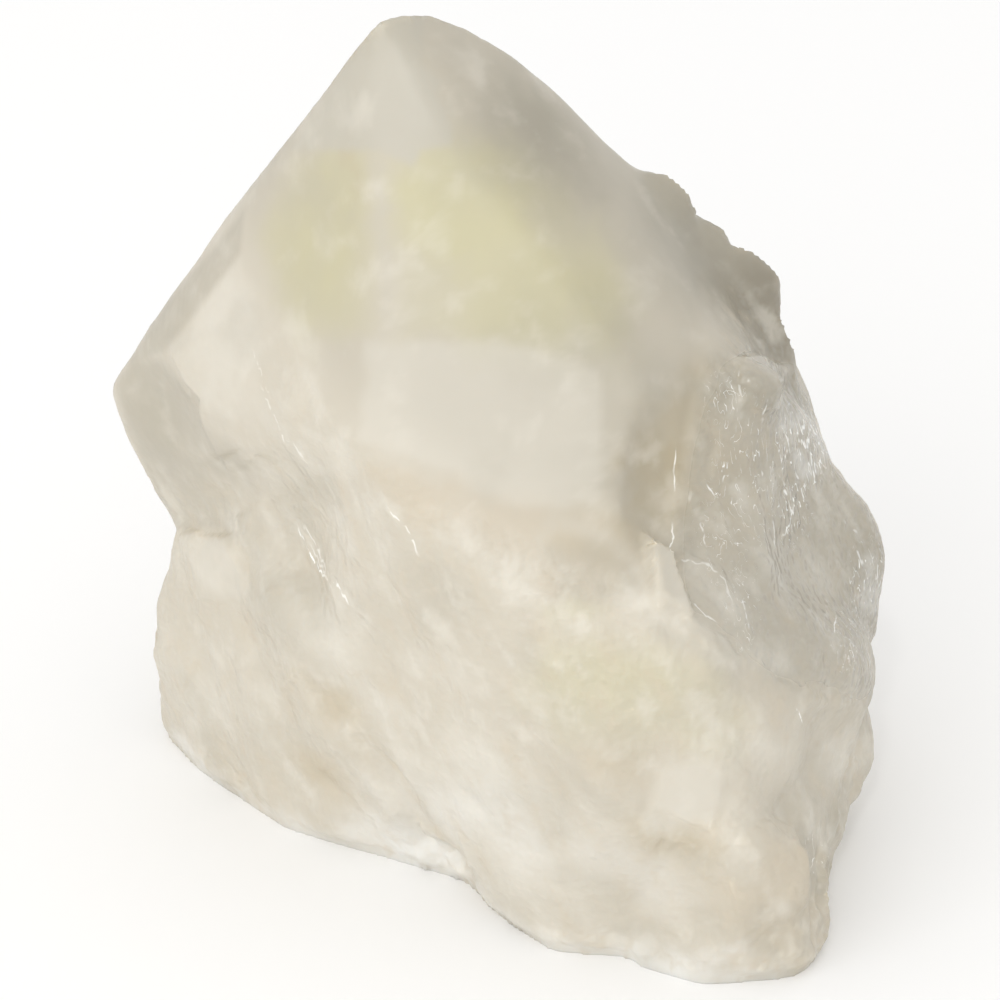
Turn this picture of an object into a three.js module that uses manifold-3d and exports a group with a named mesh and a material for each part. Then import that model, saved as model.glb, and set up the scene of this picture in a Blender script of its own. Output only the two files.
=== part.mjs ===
// A milky quartz point: hand-polished faces meet in a blunt tip, the sides below are
// natural and broken, and the base is sawn flat so that it stands. Millimetres, +Z up,
// origin on the base under the middle of the stone, -Y towards the front.
import * as THREE from "three";
import { ConvexGeometry } from "three/addons/geometries/ConvexGeometry.js";
import { mergeVertices } from "three/addons/utils/BufferGeometryUtils.js";
import Module from "manifold-3d";

// ---- driving dimensions ----

const HEIGHT = 99.4; // of the tip above the sawn base
const SHOULDER_HEIGHT = 53; // of the widest part of the back, where its polish ends
const BALL_SIDES = 24; // of the balls that cut the shell-shaped breaks
const MERGE_DISTANCE = 1e-4;

// ---- from three.js geometry to solids and back ----

const wasm = await Module();
wasm.setup();

function solid(geometry) {
  const bare = geometry.clone();
  bare.deleteAttribute("normal");
  bare.deleteAttribute("uv");
  const merged = mergeVertices(bare, MERGE_DISTANCE);
  return new wasm.Manifold(
    new wasm.Mesh({
      numProp: 3,
      vertProperties: new Float32Array(merged.attributes.position.array),
      triVerts: new Uint32Array(merged.index.array),
    }),
  );
}

function geometryOf(made) {
  const mesh = made.getMesh();
  const geometry = new THREE.BufferGeometry();
  geometry.setAttribute(
    "position",
    new THREE.BufferAttribute(mesh.vertProperties, mesh.numProp),
  );
  geometry.setIndex(new THREE.BufferAttribute(mesh.triVerts, 1));
  return geometry;
}

const vector = ([x, y, z]) => new THREE.Vector3(x, y, z);

// ---- shapes that the stone is joined and broken from ----

// The convex block that spans the given corners.
const block = (...corners) => solid(new ConvexGeometry(corners.flat().map(vector)));

// A lump on an edge: its crest runs through the given corners, and it widens by `reach`
// to the front and the back where it sinks into the stone.
function lump(crest, reach, sink) {
  const flanks = crest.flatMap(([x, y, z]) => [
    [x - sink, y - reach, z - sink],
    [x - sink, y + reach, z - sink],
  ]);
  return block(crest, flanks);
}

// A shell-shaped hollow, `depth` deep at a point of the surface, cut from the side it faces.
function scoop(at, facing, radius, depth) {
  const ball = new THREE.SphereGeometry(radius, BALL_SIDES, BALL_SIDES / 2);
  const centre = vector(facing).setLength(radius - depth).add(vector(at));
  ball.translate(...centre.toArray());
  return solid(ball);
}

// ---- the polished crystal ----

// The blunt tip, and the rounded crest that falls from it to the right.
const tip = [
  [-12.4, -3, HEIGHT - 0.2],
  [-10.6, -2, HEIGHT],
  [-7.8, 1, HEIGHT - 1.3],
  [-4.4, 3, 95.9],
  [1.3, 4, 91.9],
  [4.8, 5, 88.5],
];
// The left end: the edge of the polish, the narrow side face and the plate beside it.
const leftEnd = [
  [-30.4, 6, 70.8],
  [-27.3, 3, 70.3],
  [-35.8, 4, 59.2],
  [-34, 1, 55.3],
  [-40.3, 10, 53.7],
  [-43.4, 14, 46.5],
  [-42.1, 14, 41.4],
  [-36.6, 14, 29.2],
];
const front = [
  [-13, -17.5, 70.6],
  [-15.2, -21, 59.2],
  [-3, -25, 53.5],
  [12, -28, 47.5],
  [14.6, -20, 65.8],
  [22.6, -12, 66.2],
  [20.2, -5, 69.5],
];
const rightShoulder = [
  [13.4, 6, 78.3],
  [21.7, 8, 67.6],
  [29.4, 8, 58.6],
  [33.2, 4, 48],
  [36.4, 0, 44.7],
];
const backShoulder = [
  [-36, 27, SHOULDER_HEIGHT - 7],
  [-14, 34, SHOULDER_HEIGHT + 5],
  [14, 33, SHOULDER_HEIGHT],
  [32, 22, SHOULDER_HEIGHT - 6],
];
const crystalFoot = [
  [-24, 30, 0],
  [-10, 36, 0],
  [18, 34, 0],
  [34, 22, 0],
  [35, -5, 0],
  [-14, 8, 0],
];
const crystal = block(tip, leftEnd, front, rightShoulder, backShoulder, crystalFoot);

// ---- the broken sides below it ----

const heart = [
  [0, 12, 0],
  [0, 12, 40],
];
const body = block(heart, [
  [-15.2, -20.5, 59.2],
  [-3, -25, 53.5],
  [12, -28, 47.5],
  [20.8, -33, 42.6],
  [29.7, -28, 32.7],
  [38.4, -13, 19.4],
  [-18, -4, 36],
  [-20.5, -10, 26.6],
  [-14.7, -14.5, 21],
  [-10.5, -16.5, 12],
  [-6.4, -17, 5],
  [6.3, -32, 38],
  [10.5, -34, 26],
  [25, -33, 18.9],
  [-3.3, -15.1, 0],
  [-0.4, -21, 0],
  [5.8, -28.6, 0],
  [12.8, -29.6, 0],
  [35, -20, 0],
]);
// The glassy crust of the fracture to the right of the polish.
const crust = block([
  [25.3, -11.5, 64.2],
  [28.6, -8, 61],
  [32.4, -2, 53.5],
  [35.4, 0, 45],
  [21, -17.5, 60],
  [17.6, -23, 53.5],
  [15.7, -26, 48],
  [19.4, -28.5, 44.2],
  [30, -21, 41.5],
  [20, 4, 50],
  [14, -5, 40],
]);
const rightLobe = block([
  [15.7, -26, 48],
  [19.4, -28.5, 44.2],
  [27.5, -25.5, 36.5],
  [40.4, -6, 19.5],
  [36.4, 0, 44.7],
  [40.7, 1, 38.2],
  [42.9, 0, 33.5],
  [42.1, -1, 24],
  [41.3, -3, 19.5],
  [40, 12, 26],
  [35, 20, 36],
  [35, 22, 20],
  [10, 0, 20],
]);
const rightFoot = block(heart, [
  [38.4, -12, 19.4],
  [40, -6, 19.5],
  [41.7, -3, 13.9],
  [41.3, -6, 9],
  [38.6, -12, 3.5],
  [37, -10, 0],
  [20.3, -33, 21],
  [25.4, -35, 19.6],
  [32.2, -31, 15],
  [34.6, -28, 7],
  [25.7, -35.5, 8.1],
  [35, -29, 2.9],
  [34.1, -31.1, 0],
  [32.7, -32.9, 0],
  [30.8, -33.7, 0],
  [21.7, -35, 0],
  [14.8, -31.4, 0],
  [38, 12, 0],
  [39, 10, 16],
]);
const leftLobe = block(heart, [
  [-36, 11, 30.2],
  [-28.6, -2, 36],
  [-24, -7.5, 27.2],
  [-38, 11, 22],
  [-39.8, 12, 15.2],
  [-38.8, 12, 6.5],
  [-39.2, 15.4, 0],
  [-34.6, 7.3, 0],
  [-24.6, -4.3, 0],
  [-19.1, -7.2, 0],
  [-9.4, -12, 0],
  [-3.3, -15.1, 0],
  [-28.2, -2, 9.7],
  [-14.5, -11.5, 6.9],
  [-31, 28, 0],
  [-33, 26, 24],
]);
// A shard that stands out of the fracture, and a flat chip at its top.
const shard = block([
  [15.4, -29, 52],
  [19.5, -33, 46],
  [14.4, -31.5, 46.3],
  [13, -22, 49],
  [19, -24, 40],
]);
const chip = block([
  [24.8, -13.5, 64.6],
  [30, -9, 61.4],
  [29.2, -14, 59.2],
  [25.6, -17, 60.2],
  [22, -6, 52],
  [28, -2, 52],
]);

// ---- lumps along the right-hand outline, from the top down ----

const lumps = [
  lump([[15.1, 7, 77.1], [18.1, 7, 76.9], [20.3, 7, 74.7], [21.3, 7, 72.3]], 5, 5),
  lump([[21.7, 8, 71.3], [24.1, 8, 70.1], [25.2, 8, 68], [24.8, 8, 65.7]], 4, 4),
  lump([[26, 7, 68.2], [27.9, 7, 67.3], [30.5, 7, 64.6], [30.9, 7, 60.6]], 6, 6),
  lump([[31, 5, 61.4], [33, 5, 56.3], [33.2, 5, 54.2]], 4, 4),
  lump([[34.4, 4, 52.6], [34.3, 4, 49.2], [33, 4, 47]], 5, 4),
];

// ---- shell-shaped breaks ----

const scoops = [
  // the side under the left end of the polish
  scoop([-37, 5, 45], [-0.72, -0.68, 0.05], 24, 2.4),
  // the fracture, from its edge at the polish down to the right
  scoop([17, -21, 57], [0.55, -0.8, 0.2], 16, 1.6),
  scoop([26, -16.5, 53], [0.68, -0.68, 0.28], 13, 1.8),
  scoop([32, -10, 45], [0.8, -0.55, 0.25], 12, 1.6),
  scoop([35, -14, 30], [0.8, -0.58, 0.15], 16, 1.8),
  // the front, under an overhang, and the left lobe
  scoop([20, -35, 14], [0, -0.9, -0.5], 9, 1.4),
  scoop([-14.5, -12, 9], [-0.4, -0.85, 0.25], 10, 1.4),
  scoop([-30, -1, 22], [-0.7, -0.7, 0.1], 30, 1.2),
  // chips along the rim of the base
  scoop([-5.5, -17, 3], [-0.5, -0.85, 0], 6, 1.6),
  scoop([9.5, -30.6, -2], [0, -1, -0.4], 8, 2.4),
  scoop([-14, -11.5, -2], [-0.4, -0.9, -0.4], 8, 2.6),
  scoop([38.2, -21, 5], [0.9, -0.4, 0.1], 10, 2.2),
  scoop([37, 20, 3], [0.9, 0.4, 0], 12, 3),
  // the back and the right
  scoop([-28, 31, 22], [-0.6, 0.8, 0.1], 30, 4),
  scoop([4, 35.5, 30], [0.1, 1, 0.2], 24, 3),
  scoop([-8, 36, 8], [-0.2, 1, -0.1], 16, 2.6),
  scoop([26, 32, 14], [0.5, 0.85, 0.1], 18, 3.4),
  scoop([37, 16, 36], [0.85, 0.45, 0.2], 15, 2.4),
];

// ---- the stone ----

const grown = [body, crust, rightLobe, rightFoot, leftLobe, shard, chip, ...lumps];
const whole = grown.reduce((joined, piece) => joined.add(piece), crystal);
const broken = scoops.reduce((left, hollow) => left.subtract(hollow), whole);

const geometry = geometryOf(broken);
geometry.computeBoundingBox();
const middle = geometry.boundingBox.getCenter(new THREE.Vector3());
geometry.translate(-middle.x, -middle.y, 0);

const quartz = new THREE.MeshStandardMaterial({
  color: 0xd9d1bd,
  roughness: 0.25,
  metalness: 0,
});
const stone = new THREE.Mesh(geometry, quartz);
stone.name = "quartz_point";

const root = new THREE.Group();
root.add(stone);
export default root;
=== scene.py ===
import math

import bmesh
import bpy
import numpy as np
from bpy.props import FloatProperty, FloatVectorProperty, IntProperty, PointerProperty
from mathutils import Matrix, Vector, noise


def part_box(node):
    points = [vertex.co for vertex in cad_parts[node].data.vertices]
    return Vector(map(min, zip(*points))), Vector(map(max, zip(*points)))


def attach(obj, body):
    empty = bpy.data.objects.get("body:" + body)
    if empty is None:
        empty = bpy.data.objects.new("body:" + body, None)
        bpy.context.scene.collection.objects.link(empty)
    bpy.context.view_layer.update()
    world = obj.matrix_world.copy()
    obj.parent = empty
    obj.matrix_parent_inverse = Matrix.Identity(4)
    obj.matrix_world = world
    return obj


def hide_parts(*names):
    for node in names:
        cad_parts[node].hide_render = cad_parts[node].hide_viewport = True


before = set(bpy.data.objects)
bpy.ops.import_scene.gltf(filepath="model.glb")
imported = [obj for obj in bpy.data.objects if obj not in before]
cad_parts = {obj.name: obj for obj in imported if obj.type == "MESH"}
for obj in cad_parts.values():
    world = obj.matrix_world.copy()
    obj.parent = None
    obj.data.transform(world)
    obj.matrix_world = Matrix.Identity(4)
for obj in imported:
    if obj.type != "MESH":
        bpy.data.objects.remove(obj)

bl_info = {
    "name": "Polished Quartz Point",
    "version": (1, 0, 0),
    "blender": (4, 5, 0),
    "location": "View3D > Sidebar > Quartz",
    "description": "Builds a standing milky quartz point with polished faces and broken sides",
    "category": "Add Mesh",
}

MM = 0.001
NODE = "quartz_point"
BODY = "root"
PIECE = "quartz_stone"

# ---- the camera's frame: 1000 by 1000, from the top left ----

VIEW_PIXELS = 1000
VIEW_TARGET = Vector((0.25, 0.03, 40.4)) * MM
VIEW_DISTANCE = 0.55
VIEW_ELEVATION = math.radians(30)
VIEW_LENS = 180
SENSOR = 36
VIEW_HALF = VIEW_DISTANCE * SENSOR / VIEW_LENS / 2
VIEW_BACK = np.array((0, -math.cos(VIEW_ELEVATION), math.sin(VIEW_ELEVATION)))
VIEW_UP = np.array((0, math.sin(VIEW_ELEVATION), math.cos(VIEW_ELEVATION)))


def seen_from_camera(points):
    """Where points lie in the camera's frame, as an array of x and y."""
    offset = points - np.array(VIEW_TARGET)
    nearer = VIEW_DISTANCE / (VIEW_DISTANCE - offset @ VIEW_BACK)
    scale = VIEW_PIXELS / 2 / VIEW_HALF
    across = VIEW_PIXELS / 2 + scale * offset[:, 0] * nearer
    down = VIEW_PIXELS / 2 - scale * (offset @ VIEW_UP) * nearer
    return np.stack((across, down), axis=1)


PIXEL = 2 * VIEW_HALF / VIEW_PIXELS  # what one step of the frame covers at the stone, in metres

# ---- how the forms and tints blend; lengths in millimetres ----

BACK_POLISH_LIMIT = 53  # height of the polish's lower limit behind
BACK_STARTS = 12  # y from which that limit holds
BACK_BLEND = 3  # how far it blends in on both sides of that y
FRONT_EDGE = (-1.5, 1.0)  # heights over the limit in front that the polish blends in between
BACK_EDGE = (-1.5, 1.5)  # and over the one behind
CLEAR_EDGE = (-2.0, 9.0)  # heights over the front's limit that the stone clears up between
BASE_EDGE = (0.3, 2.5)  # heights over the base that the broken ground sets in between
LIMIT_BLUR = 10  # passes that soften the limit of the polish
FLOW_ANGLE = math.radians(30)  # lean of the broken sides' grain: its foot lies to the right
STEP_COUNT = 7  # how many flat steps the broken sides' noise is cut into
RIM_SHARPNESS = math.radians(62)  # edges bent more than this stay sharp, as the sawn rim does
BASE_RIM = 0.8  # what lies lower than this is pressed onto the base plane
FRAY_SIZE = 4.5  # spacing of the ragged edges of the tints
FRAY_SEED = 3  # of the noise that makes them, which is otherwise new in each run
CRISP_BLUR = 0.55  # tints blurred less than this keep their clean outline
GLASSY_BLUR = 2.0  # of the glassy fracture's outline
LEDGE_EDGE = 0.35  # half width of the edge of a ledge
SHARD_EDGE = 0.3  # and of a flat shard
CRACK_REACH = 1.6  # how far from a crack the mesh knows of it
CRACK_CORE = 0.03  # half width of a crack's full brightness
FISSURE_STRETCH = (1.0, 1.0, 0.2)  # draws the short glints out upwards
FINE_BUMP = 0.4  # height of the finest relief

# Noises in the stone: size in millimetres, detail, and roughness and warp where given.
FINE = (0.9, 0)
FISSURES = (0.85, 1, 0.6)
MOTTLE = (3.4, 4, 0.62, 0.2)
GRAINS = (1.7, 3, 0.6)
VEILS = (6, 4, 0.6, 0.3)
DUSK = (13, 3, 0.5, 0.3)
WIDE_DRIFT = (9, 3, 0.6)
FINE_DRIFT = (2.5, 3, 0.6)
# Where on those noises a glint fades out, and the gaps in the glints and the cracks close.
GLINT_WIDTH = (0.006, 0.03)
GLINT_GAPS = (0.44, 0.54)
CRACK_GAPS = (0.34, 0.5)

# Shares, of a length, a height or a strength.
HALFWAY = 0.5  # how far a pass moves a point to the mean of its neighbours
PAST_END = 0.02  # where a path's fade starts, before its end
END_FADE = 0.12  # how much of a form's path fades at each end
CRACK_FADE = 0.2  # and of a crack's
CRACK_NEAR = 0.8  # how much of a crack's reach it keeps its strength over
SHARD_LEAN = 0.75  # what a shard loses of its height at its far corner
CRISPNESS = 0.85  # what crisp places are spared of the rounding
CALMNESS = 0.8  # what calm places are spared of the unevenness
GLASSY_CALM = 0.6  # and the glassy fracture
FINE_RISE = (0.03, 0.8)  # the finest relief on the polished faces and the broken sides
GLASSY_RISE = 0.8  # and what the glassy fracture adds to it
GLASSY_GLOSS = 0.22  # what it takes from the roughness

# Where a fade starts and ends: of an oval or a zone in shares of its size, and of what the
# camera sees by how far the surface faces it.
OVAL_FADE = (0.3, 1.1)
ZONE_FADE = (0.5, 1.15)
RAISED_FACING = (0.05, 0.3)
WORN_FACING = (0.15, 0.45)
RIM_FACING = (-0.15, 0.15)
TINTED_FACING = (-0.1, 0.12)

# The lights' places and widths in metres, and colours that the settings don't hold.
KEY_LIGHT = ((-0.45, -0.78, 0.38), 1.1)
SPARK_LIGHT = ((-0.1, -0.9, 0.9), 0.05)
SKY_COLOUR = (1.0, 0.995, 0.985, 1.0)
# the white of the painted glints
GLINT_COLOUR = (250, 250, 246)
FLOOR_ROUGHNESS = 0.9

SHEET_TINTS = ("olive", "amber", "grey", "white", "pale", "bright")  # from the lowest up

# ---- where the stone is polished, broken and worn ----

# The lower limit of the polish on the front: x and z in millimetres, from left to right.
FRONT_POLISH_LIMIT = ((-46, 78), (-30, 71), (-27, 69), (-15, 59.5), (-3, 53.5), (12, 47.5),
                      (18.5, 45), (20.5, 61), (22, 66), (28, 64), (46, 62))
# Flat places among the broken sides: centre and size in millimetres.
CALM_ZONES = (
    ((-28, -4, 62), (9, 12, 14)),
    ((-39, 8, 47), (10, 13, 14)),
    ((-34, 6, 64), (10, 11, 15)),
    ((-29, 0, 47), (8, 9, 8)),
    ((-31, 1, 31), (5, 6, 5)),
    ((20, -33, 24), (6, 6, 5)),
)
# The glassy fracture on the right, in the camera's frame.
GLASSY_OUTLINE = ((738, 350), (796, 362), (830, 430), (880, 500), (900, 580), (885, 700),
                  (840, 702), (812, 686), (790, 690), (752, 664), (728, 640), (692, 618),
                  (668, 560), (676, 490), (682, 440), (702, 400), (712, 372))
# Where the glassy fracture glints, with glints painted into its colour and its splinters made
# steeper, in the camera's frame: centre, half width and height, and strength.
SPARKLES = (
    ((804, 436), (22, 30), 2.0),
    ((812, 462), (20, 30), 1.4),
    ((806, 440), (44, 52), 1.0),
    ((870, 578), (24, 46), 0.8),
    ((790, 500), (26, 60), 0.75),
    ((745, 480), (40, 90), 0.45),
    ((716, 540), (24, 60), 0.25),
    ((742, 610), (22, 50), 0.35),
    ((855, 640), (26, 50), 0.4),
    ((722, 395), (26, 30), 0.4),
    ((824, 850), (14, 26), 0.6),
)
# Ground that crumbles in small grains.
CRUMBLY_ZONES = (
    ((28, -31, 3), (12, 7, 6)),
    ((36, -24, 5), (6, 8, 8)),
    ((12, -31, 1.5), (14, 6, 3)),
    ((-8, -15, 1), (12, 8, 2.5)),
    ((-30, 2, 2), (10, 12, 4)),
    ((38, -12, 12), (5, 8, 9)),
)
# Places that keep their full width: centre and size, and how far they are drawn out, in
# millimetres.
FULLER_ZONES = (
    ((-6, 1, 96), (16, 9, 9), 0.25),
    ((18, 7, 75), (9, 10, 8), 0.3),
    ((27, 7, 66), (8, 10, 9), 0.25),
    ((34, 3, 53), (6, 9, 9), -0.1),
    ((41, -4, 24), (5, 9, 9), -0.4),
    ((38.5, -12, 7), (6, 8, 10), -1.1),
    ((36.5, -20.5, 3), (7, 6, 8), -0.9),
    ((34, -30, 2), (7, 6, 5), 0.6),
    ((-43, 13, 43), (6, 8, 10), 0.3),
    ((25, -14.5, 64.5), (3.5, 4, 3.5), -0.6),
)
# Polished edges that are worn round: path in the camera's frame and width in millimetres.
WORN_EDGES = (
    (((400, 14), (392, 60), (388, 200), (372, 330), (352, 450)), 4.0),
    (((420, 20), (450, 60), (520, 130), (600, 205), (690, 300), (716, 350)), 5.0),
    (((352, 450), (430, 485), (520, 525), (620, 580)), 2.5),
)

# Lumps that fill the deep creases between the broken lobes: centre and radius in millimetres.
FILLS = (
    ((-24.5, 0, 36), 4.5),
    ((-22, -4.5, 30), 5.5),
    ((-20, -7, 25), 5),
    ((-17, -9, 19), 4.5),
    ((-14.5, -10.5, 14), 4),
    ((-12, -12, 9), 3.5),
    ((19.5, -26, 42), 5),
    ((24, -23, 37.5), 6),
    ((29, -19, 32.5), 7),
    ((33.5, -14.5, 28), 7),
    ((37, -10, 24), 5.5),
)
# Ground that is smoothed broadly: the fills, and the shallow bowl of the fracture.
BLENDED_ZONES = tuple(
    (centre, (1.45 * radius,) * 3) for centre, radius in FILLS
) + (
    ((27, -14, 53), (9, 11, 12)),
    ((30, -12, 42), (8, 9, 8)),
    ((39, 6, 18), (8, 16, 7)),
    ((-32, 3, 35), (7, 8, 4.5)),
    ((-18, -14, 46), (8, 10, 13)),
    ((-20, -9, 34), (8, 9, 9)),
)
# The lumps of the upper right rim, which run out softly behind.
RIM_ZONES = (
    ((20, 10, 73), (9, 10, 9)),
    ((29, 10, 65), (9, 11, 10)),
    ((35, 8, 53), (7, 10, 9)),
)
# Places where the edges of the break stay sharp.
CRISP_ZONES = (
    ((28, -12, 60.5), (4.5, 5, 4)),
)

# ---- forms on the front, along paths in the camera's frame ----
# Each: path, width and height in millimetres. Negative heights are cut in.

RIDGES = (
    (((205, 396), (222, 408), (246, 430), (262, 458)), 1.6, 0.3),
    (((262, 560), (282, 600), (318, 650), (352, 690), (392, 748), (430, 800)), 3.5, 0.6),
    (((285, 722), (330, 732), (356, 742), (373, 771), (414, 814)), 1.8, 0.4),
    (((297, 525), (312, 553), (330, 580)), 0.6, 0.3),
    (((388, 507), (411, 533), (421, 556)), 0.5, 0.2),
    (((678, 450), (674, 481), (673, 530), (667, 559)), 0.5, 0.25),
    (((670, 559), (707, 566), (721, 578), (731, 608), (754, 644)), 0.6, 0.3),
    (((155, 640), (175, 655), (200, 668)), 2.2, 0.5),
    (((430, 840), (455, 852), (470, 872)), 1.2, 0.5),
)
GROOVES = (
    (((243, 545), (252, 600), (272, 640), (300, 672)), 2.5, -0.6),
    (((296, 668), (328, 692), (356, 722)), 3.0, -0.7),
    (((356, 722), (371, 758), (393, 789), (425, 828), (459, 862)), 1.3, -0.8),
    (((452, 850), (464, 866)), 0.7, -0.7),
    (((222, 452), (236, 485), (250, 510)), 2.4, -0.7),
    (((318, 772), (345, 792), (385, 822)), 1.8, -0.5),
    (((652, 400), (642, 470), (637, 530)), 3.0, -0.5),
    (((655, 838), (690, 846), (715, 856)), 2.6, -0.5),
    (((640, 616), (684, 620)), 1.0, -0.3),
    (((150, 640), (172, 632), (196, 640)), 1.4, -0.4),
)
# Each: path, how far the step reaches back from its edge, and its height. The ground to the
# right of the path's direction is raised.
LEDGES = (
    (((226, 480), (218, 450), (206, 425), (203, 398), (188, 380), (168, 345)), 5.0, 0.7),
    (((246, 600), (240, 570), (229, 534), (182, 529)), 3.0, -0.2),
    (((684, 611), (698, 630), (722, 637), (735, 655), (758, 660), (776, 682), (800, 684),
      (822, 698), (864, 700)), 7.0, 0.6),
    (((818, 960), (812, 910), (814, 880), (807, 850), (796, 826), (765, 813)), 7.0, -1.1),
    (((636, 560), (648, 600), (684, 640), (716, 652)), 4.0, -0.3),
    (((600, 690), (640, 720), (700, 742), (745, 730)), 4.0, 0.3),
    (((516, 690), (560, 668), (620, 662), (676, 690)), 4.0, -0.25),
    (((700, 400), (716, 450), (718, 500), (735, 560)), 3.0, 0.3),
    (((740, 430), (752, 480), (765, 540), (772, 585)), 3.0, 0.35),
    (((775, 440), (792, 490), (800, 530)), 3.0, 0.35),
)
# Outlines that a form and a tint, or two tints, share.
STANDING_SHARD = ((668, 556), (690, 614), (655, 599), (642, 534))
LOW_SHARD = ((712, 828), (690, 822), (652, 804), (662, 768), (700, 757), (726, 768))
SLOPE = ((516, 690), (560, 650), (640, 640), (720, 660), (735, 700), (640, 745),
         (560, 740))
# Flat shards that stand out: outline from the highest corner round, and height there.
SHARDS = (
    (STANDING_SHARD, 1.7),
    (((760, 358), (788, 367), (781, 389), (774, 414), (742, 402), (738, 360)), 0.8),
    (LOW_SHARD, 0.7),
    (((229, 536), (242, 570), (244, 600), (216, 604), (190, 590), (183, 534)), 0.7),
    (((804, 850), (806, 905), (770, 925), (735, 905), (728, 850), (765, 822)), 0.8),
    (((345, 474), (320, 470), (322, 448), (340, 444)), 0.35),
    (((700, 640), (752, 664), (740, 700), (690, 690)), 0.35),
)
# Sheets of another tint: tint, outline, blur in millimetres, strength.
SHEETS = (
    ("pale", ((385, 10), (424, 14), (421, 65), (440, 80), (438, 95), (452, 125), (452, 145),
              (421, 150), (414, 167), (380, 150), (330, 150), (290, 150)), 0.5, 0.9),
    ("white", ((368, 344), (498, 341), (560, 352), (596, 372), (603, 430), (598, 505),
               (520, 505), (430, 468), (362, 440)), 0.9, 0.55),
    ("olive", ((400, 135), (450, 130), (520, 150), (600, 230), (560, 330), (400, 338)),
     2.5, 0.35),
    ("olive", ((300, 180), (365, 140), (372, 330), (300, 330), (262, 240)), 2.5, 0.45),
    ("olive", SLOPE, 2.0, 0.25),
    ("grey", SLOPE, 2.4, 0.2),
    # painted light on the lit face of the standing shard
    ("white", STANDING_SHARD, 0.3, 0.5),
    ("grey", ((243, 212), (128, 350), (130, 364), (166, 350), (205, 300), (240, 254)), 0.5, 0.6),
    ("white", ((240, 256), (172, 346), (186, 372), (208, 404), (240, 420), (262, 400),
               (258, 330)), 0.5, 0.3),
    ("white", ((182, 534), (229, 536), (242, 572), (236, 600), (214, 590), (196, 566)), 0.45, 0.3),
    ("grey", ((114, 384), (134, 362), (160, 360), (200, 396), (206, 430), (222, 470), (226, 528),
              (180, 530), (150, 480)), 0.5, 0.45),
    # painted shadow under the overhanging low shard
    ("grey", ((655, 838), (690, 846), (715, 862), (712, 884), (690, 872)), 0.5, 0.25),
    ("white", LOW_SHARD, 0.5, 0.5),
    ("grey", ((758, 430), (800, 385), (826, 430), (845, 520), (838, 640), (800, 690), (760, 668),
              (745, 640), (742, 600), (752, 560), (770, 520)), 3.0, 0.42),
    ("grey", ((692, 372), (738, 352), (796, 362), (830, 430), (900, 540), (890, 700), (800, 704),
              (740, 690), (670, 660), (690, 618), (700, 580), (676, 540), (684, 440)), 3.4, 0.36),
    ("grey", ((545, 552), (600, 545), (642, 562), (645, 600), (590, 612), (550, 592)), 1.6, 0.5),
    ("grey", ((690, 908), (740, 902), (812, 900), (822, 950), (740, 956), (690, 944)), 1.0, 0.3),
    # painted shade on the side right of the lower lobe, which turns away from the light
    ("grey", ((765, 815), (796, 826), (807, 850), (812, 900), (840, 960), (890, 800), (880, 700),
              (800, 700), (792, 760)), 1.2, 0.25),
    ("olive", ((500, 240), (600, 215), (640, 300), (600, 350), (520, 335)), 2.5, 0.4),
    ("white", ((822, 740), (850, 728), (872, 745), (868, 775), (838, 778)), 1.0, 0.6),
)
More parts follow.
